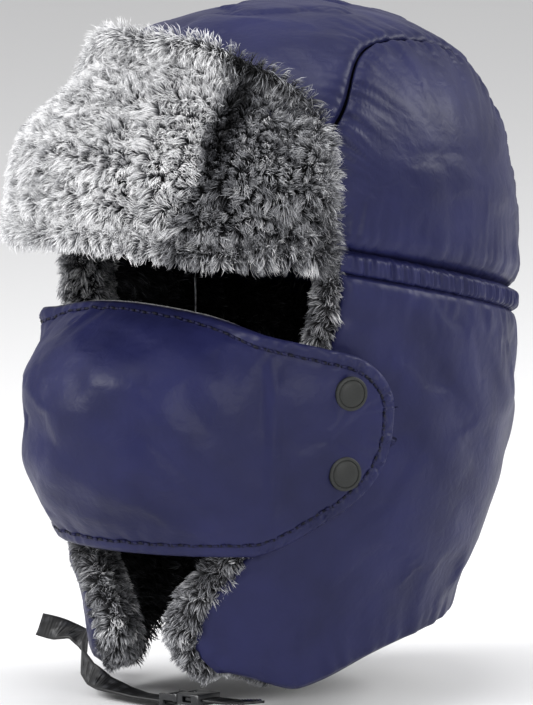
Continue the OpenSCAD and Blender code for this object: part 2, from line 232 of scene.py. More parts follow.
def settle(piece, slack, puff, most, frames=12):
    """Lets a panel held round its edge swell and crumple as slack cloth, by most mm at most.
    It hardly sinks, as the wadding behind holds it out, and it stays still beside its seams."""
    sinking, still_mm = 0.15, 16
    mesh = piece.data
    rest = read(mesh, "co")
    faces_on = {tuple(sorted(edge.vertices)): 0 for edge in mesh.edges}
    for face in mesh.polygons:
        for edge in face.edge_keys:
            faces_on[edge] += 1
    rim = sorted({k for edge, faces in faces_on.items() if faces == 1 for k in edge})
    held = piece.vertex_groups.new(name="sewn_edge")
    held.add(rim, 1.0, "REPLACE")
    cloth = piece.modifiers.new("slack", "CLOTH")
    cloth.settings.quality = 5
    cloth.settings.mass = 0.15
    cloth.settings.tension_stiffness = cloth.settings.compression_stiffness = 20
    cloth.settings.shear_stiffness = 8
    cloth.settings.bending_stiffness = 0.3
    cloth.settings.vertex_group_mass = "sewn_edge"
    cloth.settings.shrink_min = cloth.settings.shrink_max = -slack
    cloth.settings.use_pressure = True
    cloth.settings.uniform_pressure_force = puff
    cloth.settings.effector_weights.gravity = 0
    cloth.point_cache.frame_start, cloth.point_cache.frame_end = 1, frames
    for f in range(1, frames + 1):
        scene.frame_set(f)
    drawn = piece.evaluated_get(bpy.context.evaluated_depsgraph_get())
    move = read(drawn.data, "co") - rest
    piece.modifiers.remove(cloth)
    scene.frame_set(1)
    out = read(mesh, "normal")
    move -= out * np.minimum((move * out).sum(1, keepdims=True), 0) * (1 - sinking)
    seam = kdtree.KDTree(len(rim))
    for k in rim:
        seam.insert(rest[k], k)
    seam.balance()
    from_seam = np.array([seam.find(p)[2] for p in rest])
    move *= smooth(from_seam / (still_mm * 0.001))[:, None]
    far = np.linalg.norm(move, axis=1, keepdims=True)
    limit = most * 0.001
    move *= limit * np.tanh(far / limit) / np.maximum(far, 1e-9)
    mesh.vertices.foreach_set("co", (rest + move).ravel())
    mesh.update()
    return piece


def finish_piece(piece, smoothing=0, thickness=0.0, bevel=0.0):
    """Applies a last smoothing and the piece's thickness, inwards, and shades it smooth."""
    sharp = math.radians(35)
    bpy.ops.object.select_all(action="DESELECT")
    piece.select_set(True)
    bpy.context.view_layer.objects.active = piece
    if bevel:
        edges = piece.modifiers.new("softened", "BEVEL")
        edges.width, edges.segments, edges.limit_method = bevel * 0.001, 2, "ANGLE"
        edges.angle_limit = sharp
        bpy.ops.object.modifier_apply(modifier=edges.name)
    if smoothing:
        finer = piece.modifiers.new("finer", "SUBSURF")
        finer.levels = finer.render_levels = smoothing
        bpy.ops.object.modifier_apply(modifier=finer.name)
    if thickness:
        wall = piece.modifiers.new("thickness", "SOLIDIFY")
        wall.thickness, wall.offset = thickness * 0.001, -1
        bpy.ops.object.modifier_apply(modifier=wall.name)
    if bevel:
        bpy.ops.object.shade_smooth_by_angle(angle=sharp)
    else:
        bpy.ops.object.shade_smooth()
    piece.select_set(False)
    return piece


def paint(code):
    """An sRGB hex colour as the linear one that the shader takes."""
    parts = [int(code[k:k + 2], 16) / 255 for k in (1, 3, 5)]
    linear = [p / 12.92 if p <= 0.04045 else ((p + 0.055) / 1.055) ** 2.4 for p in parts]
    return (*linear, 1.0)


def new_material(name):
    material = bpy.data.materials.new(name)
    material.use_nodes = True
    return material, material.node_tree.nodes["Principled BSDF"]


def add(material, kind, settings, **feeds):
    """Adds one node with its settings. feeds gives a value or an output to each socket, by its
    name or, after an underscore, its number."""
    node = material.node_tree.nodes.new(kind)
    for key, value in settings.items():
        if key == "stops":
            while len(node.color_ramp.elements) < len(value):
                node.color_ramp.elements.new(0.5)
            for element, (place, colour) in zip(node.color_ramp.elements, value):
                element.position, element.color = place, colour
        else:
            setattr(node, key, value)
    for key, value in feeds.items():
        socket = node.inputs[int(key[1:]) if key[1:].isdigit() else key.replace("_", " ")]
        if isinstance(value, bpy.types.NodeSocket):
            material.node_tree.links.new(value, socket)
        else:
            socket.default_value = value
    return node


# Nylon taffeta, woven, dyed navy and calendered: a soft satin shine with a violet cast and
# fine crinkles. Its weave is too fine to see, so it is drawn 4.4 mm apart and very faint.
band_span = math.pi / 10  # the bands of a wave texture lie this far apart at scale 1
drawn_weave = 0.0044  # metres, as every size in a material
nylon, shader = new_material("navy_nylon_taffeta")
where = add(nylon, "ShaderNodeTexCoord", {})
patch = add(nylon, "ShaderNodeTexNoise", {}, Vector=where.outputs["Object"], Scale=28.0, Detail=3.0)
dye = add(nylon, "ShaderNodeValToRGB",
          {"stops": [(0.3, paint("#171938")), (0.7, paint("#1f2146"))]}, Fac=patch.outputs["Fac"])
warp = add(nylon, "ShaderNodeTexWave", {"bands_direction": "X"}, Vector=where.outputs["UV"],
           Scale=band_span / drawn_weave, Distortion=1.5, Detail=1.0)
weft = add(nylon, "ShaderNodeTexWave", {"bands_direction": "Y"}, Vector=where.outputs["UV"],
           Scale=band_span / drawn_weave, Distortion=1.5, Detail=1.0)
weave = add(nylon, "ShaderNodeMath", {"operation": "MAXIMUM"}, _0=warp.outputs["Fac"],
            _1=weft.outputs["Fac"])
crinkle = add(nylon, "ShaderNodeTexNoise", {}, Vector=where.outputs["Object"], Scale=150.0,
              Detail=4.0, Roughness=0.55, Distortion=0.8)
surface = add(nylon, "ShaderNodeMath", {"operation": "MULTIPLY_ADD"}, _0=weave.outputs[0], _1=0.08,
              _2=crinkle.outputs["Fac"])
relief = add(nylon, "ShaderNodeBump", {}, Height=surface.outputs[0], Strength=0.35, Distance=0.0009)
shine = add(nylon, "ShaderNodeMapRange", {}, _0=crinkle.outputs["Fac"], _3=0.38, _4=0.5)
nylon.node_tree.links.new(dye.outputs["Color"], shader.inputs["Base Color"])
nylon.node_tree.links.new(shine.outputs[0], shader.inputs["Roughness"])
nylon.node_tree.links.new(relief.outputs["Normal"], shader.inputs["Normal"])
shader.inputs["Specular IOR Level"].default_value = 0.17
shader.inputs["Sheen Weight"].default_value = 0.03
shader.inputs["Sheen Roughness"].default_value = 0.35
shader.inputs["Sheen Tint"].default_value = paint("#8a86c8")

seam_dip, seam_roll, seam_pitch = 2.4, 7, 9
panel_slack, panel_puff, panel_most = 0.03, 2.0, 2.5
every_side = ("first", "last", "start", "end")
v, u = np.meshgrid(np.linspace(0, 1, 190), np.linspace(0, 1, 90), indexing="ij")
s = np.sin(np.radians(mix(-90, 90, v)))
top_points = crown_skin(*top_panel_place(s, mix(-0.994, 0.994, u)))
top_points = pucker(top_points, every_side, seam_dip, seam_roll, 0.9, seam_pitch, 7, 11)
crown_top = settle(sew("crown_top", top_points), panel_slack, panel_puff, panel_most)
finish_piece(crown_top, 0, nylon_swell - 1)
crown_top.data.materials.append(nylon)
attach(crown_top, "root")
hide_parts("crown_top_panel", "crown_wadding")

for side, name in ((1, "left"), (-1, "right")):
    v, u = np.meshgrid(np.linspace(0, 1, 80), np.linspace(0, 1, 190), indexing="ij")
    s = 0.985 * np.sin(np.radians(mix(-90, 90, u)))
    foot = -np.abs(s) * np.sign(s) * np.arccos(seam_half(np.sign(s) * half_l) / half_w)
    th, t = top_panel_place(s, np.full_like(s, 1.006))
    th = mix(foot, th, v)
    t = np.sin(v * np.arcsin(t ** (boxiness / 2))) ** (2 / boxiness)
    side_points = crown_skin(th, t) * np.array([side, 1, 1])
    side_points = pucker(side_points, ("first", "last"), seam_dip, seam_roll, 1.1, seam_pitch, 8,
                         21 + side, 0.5)
    crown_side = settle(sew("crown_side_" + name, side_points), panel_slack, panel_puff,
                        panel_most)
    finish_piece(crown_side, 0, nylon_swell - 1)
    crown_side.data.materials.append(nylon)
    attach(crown_side, "root")
    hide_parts("crown_side_panel_" + name)

# The band is a casing of the same nylon, gathered by the elastic inside it. It runs round
# the back from temple to temple, and its seam allowances are tucked behind the panels.
band_ends, allowance_to = (29, -209), 8.0
v, u = np.meshgrid(np.linspace(-1, 1, 30), np.linspace(0, 1, 800), indexing="ij")
th = np.radians(mix(*band_ends, u))
rise = allowance_to * v
bow = 1 - np.minimum(np.abs(rise) / band_half, 1) ** 4
tucked = smooth((np.abs(rise) - band_half + 0.6) / 3.5)
along = half_l * np.radians(band_ends[0] - band_ends[1]) * u
gather = ripple(along, 5.5, 31) * 0.9 + 0.5 * ripple(along + v, 3.1, 32)
gather *= (0.35 + 0.65 * bow) * (1 - tucked) * smooth(np.minimum(u, 1 - u) * 40)
deep = 3.0 - 1.6 * bow + 5.5 * tucked - gather
band_points = np.stack([(half_w - deep) * np.cos(th), -(half_l - deep) * np.sin(th),
                        band_height(th) + rise + 0.35 * ripple(along, 7, 33) * v], -1)
band = finish_piece(sew("gathered_band", band_points), 0, 1.2)
band.data.materials.append(nylon)
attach(band, "root")
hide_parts("band_casing", "elastic_band")

# The ear flaps and the neck guard are one padded wall of the same nylon. It hangs from the
# band, narrows to the chin and is open over the face, with rolled edges.
flap_low = -188.0
opening_top = 29.0
flap_swell = 8.0


def flap_scale(z):
    """How much narrower the flaps are at a height than the crown is at the band."""
    return (1 - 0.025 * smooth(-z / 40) - 0.21 * smooth((-40 - z) / 190)
            - 0.06 * smooth((-95 - z) / 80))


def flap_skin(th, z, deep=0.0):
    """Points of the flaps' outside, or of a layer that lies deep mm below it."""
    s = flap_scale(z)
    return np.stack([(half_w * s - deep) * np.cos(th),
                     -12 * smooth((-30 - z) / 150) - (half_l * s - deep) * np.sin(th), z], -1)


def opening_angle(z):
    """The angle of the flap's front edge, in degrees."""
    return (opening_top + 6 * smooth(-z / 60) + 32 * smooth((-80 - z) / 85)
            - 12 * smooth((flap_low + 24 - z) / 20))


def hem_lift(angle):
    """How far the gathered hem draws up behind each ear."""
    return 6 * np.exp(-((angle - 2) / 36) ** 2)


def flap_column(p, f):
    """p is 0 at the front edge and 1 at the nape, and f is 0 at the band and 1 at the hem."""
    top = band_height(np.radians(mix(opening_top, -90, p))) - band_half - 0.3
    foot = mix(64, -90, p)
    low = (mix(flap_low + 26, flap_low, smooth((foot + 60) / 120))
           + 12 * smooth((foot - 38) / 24) + hem_lift(foot))
    z = mix(top, low, f)
    return flap_skin(np.radians(mix(opening_angle(z), -90, p)), z)


v, u = np.meshgrid(np.linspace(0, 1, 84), np.linspace(-1, 1, 250), indexing="ij")
flap_points = flap_column(1 - np.abs(u) ** 0.9, v)
flap_points[..., 0] *= np.where(u < 0, -1, 1)
flap_points = pucker(flap_points, every_side, 3.2, 8, 1.0, 10, 8, 41, 1.4)
flaps = settle(sew("flaps_and_neck_guard", flap_points), 0.025, 2.0, 3.0)
finish_piece(flaps, 0, flap_swell)
flaps.data.materials.append(nylon)
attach(flaps, "root")
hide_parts("flap_shell", "flap_wadding")

# The fur inside the flaps and the guard, and the rolled edge that shows beside the nylon,
# are acrylic pile on a knitted back. Each hair is dark at its root and pale at its tip, and
# the hairs stand in small curly tufts. The skin is the knitted back, well below the tips.


def lift(node, name, levels=1):
    """A copy of a plain solid, merged and smoothed, to work into the finished piece."""
    piece = bpy.data.objects.new(name, frame["nodes"][node].data.copy())
    scene.collection.objects.link(piece)
    piece.data.name = name
    piece.data.materials.clear()
    bpy.ops.object.select_all(action="DESELECT")
    piece.select_set(True)
    bpy.context.view_layer.objects.active = piece
    bpy.ops.object.mode_set(mode="EDIT")
    bpy.ops.mesh.select_all(action="SELECT")
    bpy.ops.mesh.remove_doubles(threshold=0.00002)
    bpy.ops.mesh.normals_make_consistent(inside=False)
    bpy.ops.object.mode_set(mode="OBJECT")
    piece.select_set(False)
    if levels:
        finish_piece(piece, levels)
    return piece


def corners(piece):
    """The corner places and normals of a piece, in mm."""
    return read(piece.data, "co") * 1000.0, read(piece.data, "normal")


def move_corners(piece, place):
    piece.data.vertices.foreach_set("co", (place * 0.001).astype(np.float32).ravel())
    piece.data.update()


def shear(piece, depth):
    """Sinks a fur piece's skin by depth mm, a number or one for each corner."""
    place, facing = corners(piece)
    move_corners(piece, place - facing * np.reshape(depth, (-1, 1)))


def rows_of(vector):
    return vector / (np.linalg.norm(vector, axis=1, keepdims=True) + 1e-9)


hair_corners = np.array([0, 1, 3, 2, 2, 3, 5, 4, 4, 5, 6])
hair_height = np.array([0, 0, 0.42, 0.42, 0.42, 0.42, 0.78, 0.78, 0.78, 0.78, 1.0])


def grow_pile(name, skin, keep, per_mm2, length, tone, comb, seed, body, tuft=6.0, curl=0.55,
              width=0.42, most=39000):
    """Plants hairs in tufts on the kept faces of a skin, each flat, tapered and dark at its root.
    One mesh holds at most so many of them."""
    draw = np.random.default_rng(seed)
    place, facing = corners(skin)
    skin.data.calc_loop_triangles()
    tri = np.zeros(len(skin.data.loop_triangles) * 3, np.int32)
    skin.data.loop_triangles.foreach_get("vertices", tri)
    tri = tri.reshape(-1, 3)
    a, b, c = (place[tri[:, k]] for k in range(3))
    flat = np.cross(b - a, c - a)
    area = np.linalg.norm(flat, axis=1) / 2
    kept = keep((a + b + c) / 3, rows_of(flat))
    tri, area = tri[kept], area[kept]
    count = int(area.sum() * per_mm2)
    pick = draw.choice(len(tri), count, p=area / area.sum())
    r1, r2 = np.sqrt(draw.random((count, 1))), draw.random((count, 1))
    parts = (1 - r1, r1 * (1 - r2), r1 * r2)
    root = sum(w * place[tri[pick, k]] for k, w in enumerate(parts))
    up = rows_of(sum(w * facing[tri[pick, k]] for k, w in enumerate(parts)))
    tufts = root[draw.choice(count, max(2, int(area.sum() / tuft ** 2)))]
    tree = kdtree.KDTree(len(tufts))
    for k, p in enumerate(tufts):
        tree.insert(p, k)
    tree.balance()
    own = np.array([tree.find(p)[1] for p in root])
    swirl = rows_of(draw.normal(size=(len(tufts), 3)))[own] * curl
    side = comb(root, up) + swirl + draw.normal(size=(count, 3)) * 0.16
    side -= up * (side * up).sum(1, keepdims=True)
    long = length * draw.uniform(0.78, 1.08, count) * draw.uniform(0.8, 1.12, len(tufts))[own]
    long = long[:, None]
    gather = tufts[own] - root
    gather -= up * (gather * up).sum(1, keepdims=True)
    low = root + up * 0.42 * long + side * 0.1 * long
    high = root + up * 0.76 * long + side * 0.36 * long + gather * 0.16
    tip = root + up * 0.93 * long + side * 0.72 * long + gather * 0.34
    wide = rows_of(np.cross(tip - root, draw.normal(size=(count, 3)))) * width / 2
    hair = np.stack([root - wide, root + wide, low - wide, low + wide, high - wide * 0.7,
                     high + wide * 0.7, tip], 1)
    pale = tone(root) + draw.normal(size=len(tufts))[own] * 0.09 + draw.normal(size=count) * 0.1
    pale = np.clip(pale, 0.01, 0.99)
    groups = np.array_split(draw.permutation(count), math.ceil(count / most))
    for k, chosen in enumerate(groups):
        n = len(chosen)
        mesh = bpy.data.meshes.new(f"{name}_{k + 1}" if len(groups) > 1 else name)
        mesh.vertices.add(n * 7)
        mesh.vertices.foreach_set("co", (hair[chosen] * 0.001).astype(np.float32).ravel())
        mesh.loops.add(n * 11)
        used = np.arange(n)[:, None] * 7 + hair_corners
        mesh.loops.foreach_set("vertex_index", used.astype(np.int32).ravel())
        mesh.polygons.add(n * 3)
        starts = np.arange(n)[:, None] * 11 + np.array([0, 4, 8])
        mesh.polygons.foreach_set("loop_start", starts.astype(np.int32).ravel())
        mesh.update(calc_edges=True)
        mesh.validate()
        grown = mesh.uv_layers.new(name="hair")
        uv = np.stack([np.repeat(pale[chosen], 11), np.tile(hair_height, n)], 1)
        grown.data.foreach_set("uv", uv.astype(np.float32).ravel())
        mesh.materials.append(fur)
        pile = bpy.data.objects.new(mesh.name, mesh)
        scene.collection.objects.link(pile)
        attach(pile, body)


# Acrylic fake fur: dull, soft and grey, with black roots and tips from charcoal to white. The
# hair's own UV map gives its shade across and its height from root to tip.
fur, shader = new_material("acrylic_faux_fur")
hair_map = add(fur, "ShaderNodeUVMap", {"uv_map": "hair"})
split = add(fur, "ShaderNodeSeparateXYZ", {}, Vector=hair_map.outputs["UV"])
tips = add(fur, "ShaderNodeValToRGB",
           {"stops": [(0.0, paint("#141416")), (0.3, paint("#4c4d52")),
                      (0.6, paint("#a6a7ab")), (0.95, paint("#f4f4f5"))]}, Fac=split.outputs["X"])
roots = add(fur, "ShaderNodeValToRGB",
            {"stops": [(0.3, paint("#131315")), (0.95, paint("#77787c"))]}, Fac=split.outputs["X"])
height = add(fur, "ShaderNodeMapRange", {"interpolation_type": "SMOOTHSTEP"},
             _0=split.outputs["Y"], _1=0.2, _2=0.95)
shade = add(fur, "ShaderNodeMix", {"data_type": "RGBA"}, _0=height.outputs[0],
            _6=roots.outputs["Color"], _7=tips.outputs["Color"])
fur.node_tree.links.new(shade.outputs[2], shader.inputs["Base Color"])
shader.inputs["Roughness"].default_value = 0.62
shader.inputs["Specular IOR Level"].default_value = 0.3



def join(material, colour, relief, roughness):
    """Joins a material's colour and relief to its shader, and gives that back."""
    shader = material.node_tree.nodes["Principled BSDF"]
    material.node_tree.links.new(colour, shader.inputs["Base Color"])
    material.node_tree.links.new(relief.outputs["Normal"], shader.inputs["Normal"])
    shader.inputs["Roughness"].default_value = roughness
    return shader


# The knitted back of the fur, seen only as darkness between the hairs: loops 1.2 mm apart.
knit, _ = new_material("knitted_fur_back")
where = add(knit, "ShaderNodeTexCoord", {})
loops = add(knit, "ShaderNodeTexVoronoi", {}, Vector=where.outputs["Object"], Scale=1 / 0.0012)
yarn = add(knit, "ShaderNodeValToRGB",
           {"stops": [(0.0, paint("#1d1d20")), (0.8, paint("#0e0e10"))]},
           Fac=loops.outputs["Distance"])
relief = add(knit, "ShaderNodeBump", {}, Height=loops.outputs["Distance"], Strength=0.5,
             Distance=0.0004)
join(knit, yarn.outputs["Color"], relief, 0.9)


def patches(p, size, seed):
    """Uneven light and dark areas some size mm across, about -1 to 1."""
    a, b, c = p[:, 0], p[:, 1], p[:, 2]
    return (ripple(a + 0.4 * c, size, seed) + ripple(b - 0.5 * a, size * 0.9, seed + 1)
            + ripple(c + 0.3 * b, size * 0.8, seed + 2)) / 2


def ear_angle(p):
    """The angle round the head, in degrees: 0 at the left ear and 90 at the forehead."""
    forward = p[:, 1] + 12 * smooth((-30 - p[:, 2]) / 150)
    return np.degrees(np.arctan2(-forward / half_l, p[:, 0] / half_w))


def either_side(p):
    """Points of the right side taken to their like on the left."""
    return np.abs(p) * [1, 0, 0] + p * [0, 1, 1]


def past_nylon(p):
    """How many degrees a point lies past the nylon's front edge, towards the face."""
    return ear_angle(either_side(p)) - opening_angle(p[:, 2])


def facing_out(p, n):
    """How far a face at p turns away from the upright middle line: 1 straight out, -1 in."""
    return (n * rows_of(p * np.array([1, 1, 0]))).sum(1)


def rolled(p, n):
    """Faces of the fur on the rolled front edge, just inside it, or along the hem."""
    past = past_nylon(p)
    hem = (p[:, 2] < -150) & (n[:, 2] < -0.4) & (past > -22)
    return (past > -0.8) | ((past > -7) & (facing_out(p, n) < 0.3)) | hem


def inner_wall(p, n):
    return (facing_out(p, n) < 0.2) & ~rolled(p, n)


def hang(p, n):
    return np.tile([0.0, -0.15, -0.45], (len(p), 1))


flap_fur_skin = lift("flap_fur_lining", "flap_fur_skin")
place, facing = corners(flap_fur_skin)
behind = ear_angle(either_side(place))
place[:, 2] += (hem_lift(behind) + 1.5) * smooth((-130 - place[:, 2]) / 40)
move_corners(flap_fur_skin, place)
on_roll = smooth((past_nylon(place) + 1) / 2) * smooth((facing_out(place, facing) - 0.2) / 0.5)
shear(flap_fur_skin, 2.2 - 8.5 * on_roll)
flap_fur_skin.data.materials.append(knit)
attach(flap_fur_skin, "root")
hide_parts("flap_fur_lining")
grow_pile("flap_edge_fur", flap_fur_skin, rolled, 2.6, 5.2,
          lambda p: 0.56 + 0.12 * patches(p, 30, 51), hang, 52, "root", tuft=3.4)
# The pile on the inner wall is the same lining as the rolled edge, but its tone is set near black,
# 0.1 against 0.56: painted shade inside the flaps.
grow_pile("flap_inside_fur_painted_shade", flap_fur_skin, inner_wall, 0.62, 7.5,
          lambda p: 0.1 + 0.06 * patches(p, 30, 53), hang, 54, "root", width=0.6)

# The same fur lines the crown, where it is seen only from below. Its tone is set darker than the
# rolled edge's, as painted shade inside the crown.
crown_fur_skin = lift("crown_lining", "crown_fur_skin")
shear(crown_fur_skin, 1.5)
crown_fur_skin.data.materials.append(knit)
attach(crown_fur_skin, "root")
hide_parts("crown_lining")
grow_pile("crown_inside_fur_painted_shade", crown_fur_skin,
          lambda p, n: (n * rows_of(p + [0, 0, 20])).sum(1) < -0.2, 0.5, 7.0,
          lambda p: 0.16 + 0.06 * patches(p, 30, 55), hang, 56, "root", width=0.65)

# The turned-up brim is a thick fur panel, sewn to the front of the crown at its lower edge,
# with a nylon back. Its pile is longer and paler than the lining's, near white over the
# wearer's right, with a dark streak beside it and salt and pepper at the left.
brim_pile = 7.5


def round_corners(piece):
    """Rounds the ends of a brim piece: their upper corners drop and their lower ones rise."""
    place, _ = corners(piece)
    turn = ear_angle(place) - 90
    end = smooth((np.abs(turn) - 18) / 38)
    place[:, 2] -= (17 * end * smooth((place[:, 2] - 45) / 60)
                    - 7 * end ** 2 * smooth((38 - place[:, 2]) / 25))
    pull = np.radians(-0.045 * turn)
    x, y = place[:, 0].copy(), place[:, 1].copy()
    place[:, 0] = x * np.cos(pull) + y * np.sin(pull)
    place[:, 1] = y * np.cos(pull) - x * np.sin(pull)
    move_corners(piece, place)


brim_fur_skin = lift("brim_fur", "brim_fur_skin", 2)
place, facing = corners(brim_fur_skin)
outward = facing_out(place, facing)
shear(brim_fur_skin, 6.5 * smooth((outward + 0.8) / 0.8))
place, facing = corners(brim_fur_skin)
shear(brim_fur_skin, -1.2 * patches(place, 14, 61) * smooth(outward))
round_corners(brim_fur_skin)
brim_fur_skin.data.materials.append(knit)
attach(brim_fur_skin, "brim")
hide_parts("brim_fur")


def brim_tone(p):
    angle = ear_angle(p)
    streak = (angle - 54 - (95 - p[:, 2]) * 0.16) / 4.0
    return (0.54 + 0.44 * smooth((angle - 57) / 8) - 0.46 * np.exp(-streak ** 2)
            + 0.1 * patches(p, 34, 62) + 0.12 * patches(p, 13, 64))


def brim_comb(p, n):
    return np.tile([0.0, -0.1, -0.3], (len(p), 1)) + 0.3 * np.stack(
        [patches(p, 22, 66), patches(p, 26, 68), patches(p, 24, 70)], 1)


grow_pile("brim_fur_pile", brim_fur_skin, lambda p, n: facing_out(p, n) > -0.55, 3.6, brim_pile,
          brim_tone, brim_comb, 71, "brim", tuft=2.7, curl=0.5, width=0.36)

brim_back = lift("brim_backing", "brim_back")
round_corners(brim_back)
brim_back.data.materials.append(nylon)
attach(brim_back, "brim")
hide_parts("brim_backing", "brim_pad")
brim_tape = lift("brim_seam_tape", "brim_tape")
brim_tape.data.materials.append(nylon)
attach(brim_tape, frame["nodes"]["brim_seam_tape"]["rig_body"])
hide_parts("brim_seam_tape")

# The face mask is a padded panel of the same nylon, cut to stand out over the nose and
# sewn 6 mm inside its edge. Its wings reach the flaps and are held there by snaps.
mask_gap, mask_deep, sewn_in = 2.8, 4.6, 6.0


def mask_skin(th, k, deep=0.0):
    """th in degrees from the left ear; k is 0 at the top edge and 1 at the bottom one."""
    turn = np.abs(90 - th)
    top = -7 - 24 * (turn / 68) ** 1.7
    low = -120 + 27 * smooth((turn - 40) / 36)
    side = np.clip((90 - turn - 16) / 13, 0, 1)
    z = -60 + (mix(top, low, k) + 60) * (1 - (1 - side) ** 2.5) ** (1 / 2.5)
    p = flap_skin(np.radians(th), z, deep - mask_gap - mask_deep)
    nose = (21 * smooth(k / 0.3) * (1 - smooth((k - 0.62) / 0.38))
            - 26 * (1 - np.clip(k / 0.42, 0, 1)) ** 2)
    p[..., 1] -= smooth((np.sin(np.radians(th)) - 0.7) / 0.29) * nose
    return p


def crease(points, a, b, width):
    """How near each point is to the line from a to b: 1 on it, fading over width mm."""
    a, b = np.array(a, float), np.array(b, float)
    f = np.clip(((points - a) * (b - a)).sum(-1) / ((b - a) ** 2).sum(), 0, 1)[..., None]
    return np.exp(-(np.linalg.norm(points - (a + (b - a) * f), axis=-1) / width) ** 2)


def wing(u, reach):
    """The angle at each column of the mask, closer together towards the ends of the wings."""
    c = np.cos(np.radians(u))
    return 90 - reach * np.sign(c) * np.abs(c) ** 0.8


snap_angle, snap_heights = math.radians(28), (-45.5, -82.0)
v, u = np.meshgrid(np.linspace(0.004, 0.996, 76), np.linspace(0, 180, 210), indexing="ij")
th = wing(u, 73.9)
mask_points = mask_skin(th, v)
distance, place = seams_of(mask_points, ("first", "end", "last", "start"))
along, across = measured(mask_points)
rise = -1.5 * (1 - np.sqrt(1 - (1 - np.minimum(distance / 4, 1)) ** 2))
rise -= 0.75 * np.exp(-((distance - sewn_in) / 1.1) ** 2)
rise += ((0.4 + 0.5 * smooth((np.abs(th - 90) - 38) / 8))
         * np.exp(-((distance - 3.2) / 2.4) ** 2) * ripple(place, 6, 81))
rise += (0.5 * np.exp(-np.maximum(distance - sewn_in, 0) / 7) * (distance > sewn_in)
         * ripple(place, 11, 82))
rise += 1.1 * smooth((distance - sewn_in) / 12)
rise -= 2.0 * smooth((th - 112) / 14)
rise += (1.5 * smooth((distance - 8) / 14) * ripple(along + 0.5 * across, 52, 83)
         * ripple(across - 0.2 * along, 40, 84))
bend = mask_skin(np.array([106.0, 110.0, 112.0]), np.array([0.08, 0.45, 0.85]))
rise -= 1.7 * np.maximum(crease(mask_points, bend[0], bend[1], 1.8),
                         crease(mask_points, bend[1], bend[2], 1.8))
rise += 0.9 * crease(mask_points, bend[0] + [3, 0, 0], bend[2] + [4, 0, 0], 4)
pleat = mask_skin(np.array([91.0, 75.0]), np.array([0.11, 0.15]))
rise -= 1.2 * crease(mask_points, pleat[0], pleat[1], 1.2)
fold = mask_skin(np.array([46.0, 44.0]), np.array([0.12, 0.9]))
rise += (1.2 * crease(mask_points, fold[0], fold[1], 4)
         - 0.8 * crease(mask_points, fold[0] - [9, 0, 0], fold[1] - [9, 0, 0], 4))
for z in snap_heights:
    for side in (1, -1):
        snap = flap_skin(snap_angle, np.array(z)) * [side, 1, 1]
        ring = np.linalg.norm(mask_points - snap, axis=-1)
        rise -= 0.9 * np.exp(-np.maximum(ring - 9, 0) / 3)
mask_points = mask_points + face_out(mask_points) * rise[..., None]
mask = settle(sew("face_mask", mask_points), 0.02, 1.2, 1.6)
finish_piece(mask, 0, 3.0)
mask.data.materials.append(nylon)
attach(mask, "mask")
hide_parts("mask_shell", "mask_padding")

# Lockstitches in navy thread hold the mask's layers 6 mm inside its edge, 3.2 mm apart. The
# thread's twist is too fine to see, so its tone changes every 3.6 mm along a diagonal.
stitch_pitch, stitch_long, stitch_thick = 3.2, 2.6, 0.6
thread, _ = new_material("polyester_thread")
where = add(thread, "ShaderNodeTexCoord", {})
twist = add(thread, "ShaderNodeTexWave", {"bands_direction": "DIAGONAL"},
            Vector=where.outputs["Object"], Scale=100.0)
plies = add(thread, "ShaderNodeValToRGB",
            {"stops": [(0.2, paint("#0b0c1c")), (0.8, paint("#17183a"))]},
            Fac=twist.outputs["Fac"])
relief = add(thread, "ShaderNodeBump", {}, Height=twist.outputs["Fac"], Strength=0.5,
             Distance=0.0001)
shader = join(thread, plies.outputs["Color"], relief, 0.6)
shader.inputs["Specular IOR Level"].default_value = 0.2


def stitch_line(name, places, facing, heading, long, thick):
    """One short rounded stitch, modelled once, with a copy at each place, all in one mesh."""
    bpy.ops.mesh.primitive_cylinder_add(vertices=6, radius=thick / 2, depth=long * 0.7)
    stitch = bpy.context.object
    bpy.ops.object.mode_set(mode="EDIT")
    bpy.ops.mesh.select_all(action="DESELECT")
    bpy.ops.object.mode_set(mode="OBJECT")
    for face in stitch.data.polygons:
        face.select = abs(face.normal.z) > 0.9
    bpy.ops.object.mode_set(mode="EDIT")
    bpy.ops.mesh.select_mode(type="FACE")
    bpy.ops.mesh.inset(thickness=thick * 0.22, depth=long * 0.14)
    bpy.ops.object.mode_set(mode="OBJECT")
    shape = np.array([v.co[:] for v in stitch.data.vertices])
    faces = [list(f.vertices) for f in stitch.data.polygons]
    bpy.data.objects.remove(stitch)
    out = rows_of(facing)
    ahead = rows_of(heading - out * (heading * out).sum(1, keepdims=True))
    across = np.cross(out, ahead)
    spots = (places[:, None] + shape[None, :, :1] * across[:, None]
             + shape[None, :, 1:2] * out[:, None] + shape[None, :, 2:] * ahead[:, None])
    mesh = bpy.data.meshes.new(name)
    n = len(shape)
    mesh.from_pydata((spots * 0.001).reshape(-1, 3).tolist(), [],
                     [[i + k * n for i in f] for k in range(len(places)) for f in faces])
    row = bpy.data.objects.new(name, mesh)
    scene.collection.objects.link(row)
    finish_piece(row)
    return row


def walk(line, step):
    """Evenly spaced points on a line, with their headings."""
    steps = run_of(line)
    at = np.arange(step / 2, steps[-1], step)
    points = np.stack([np.interp(at, steps, line[:, k]) for k in range(3)], 1)
    ahead = np.stack([np.interp(at + 0.3, steps, line[:, k]) for k in range(3)], 1)
    return points, rows_of(ahead - points)


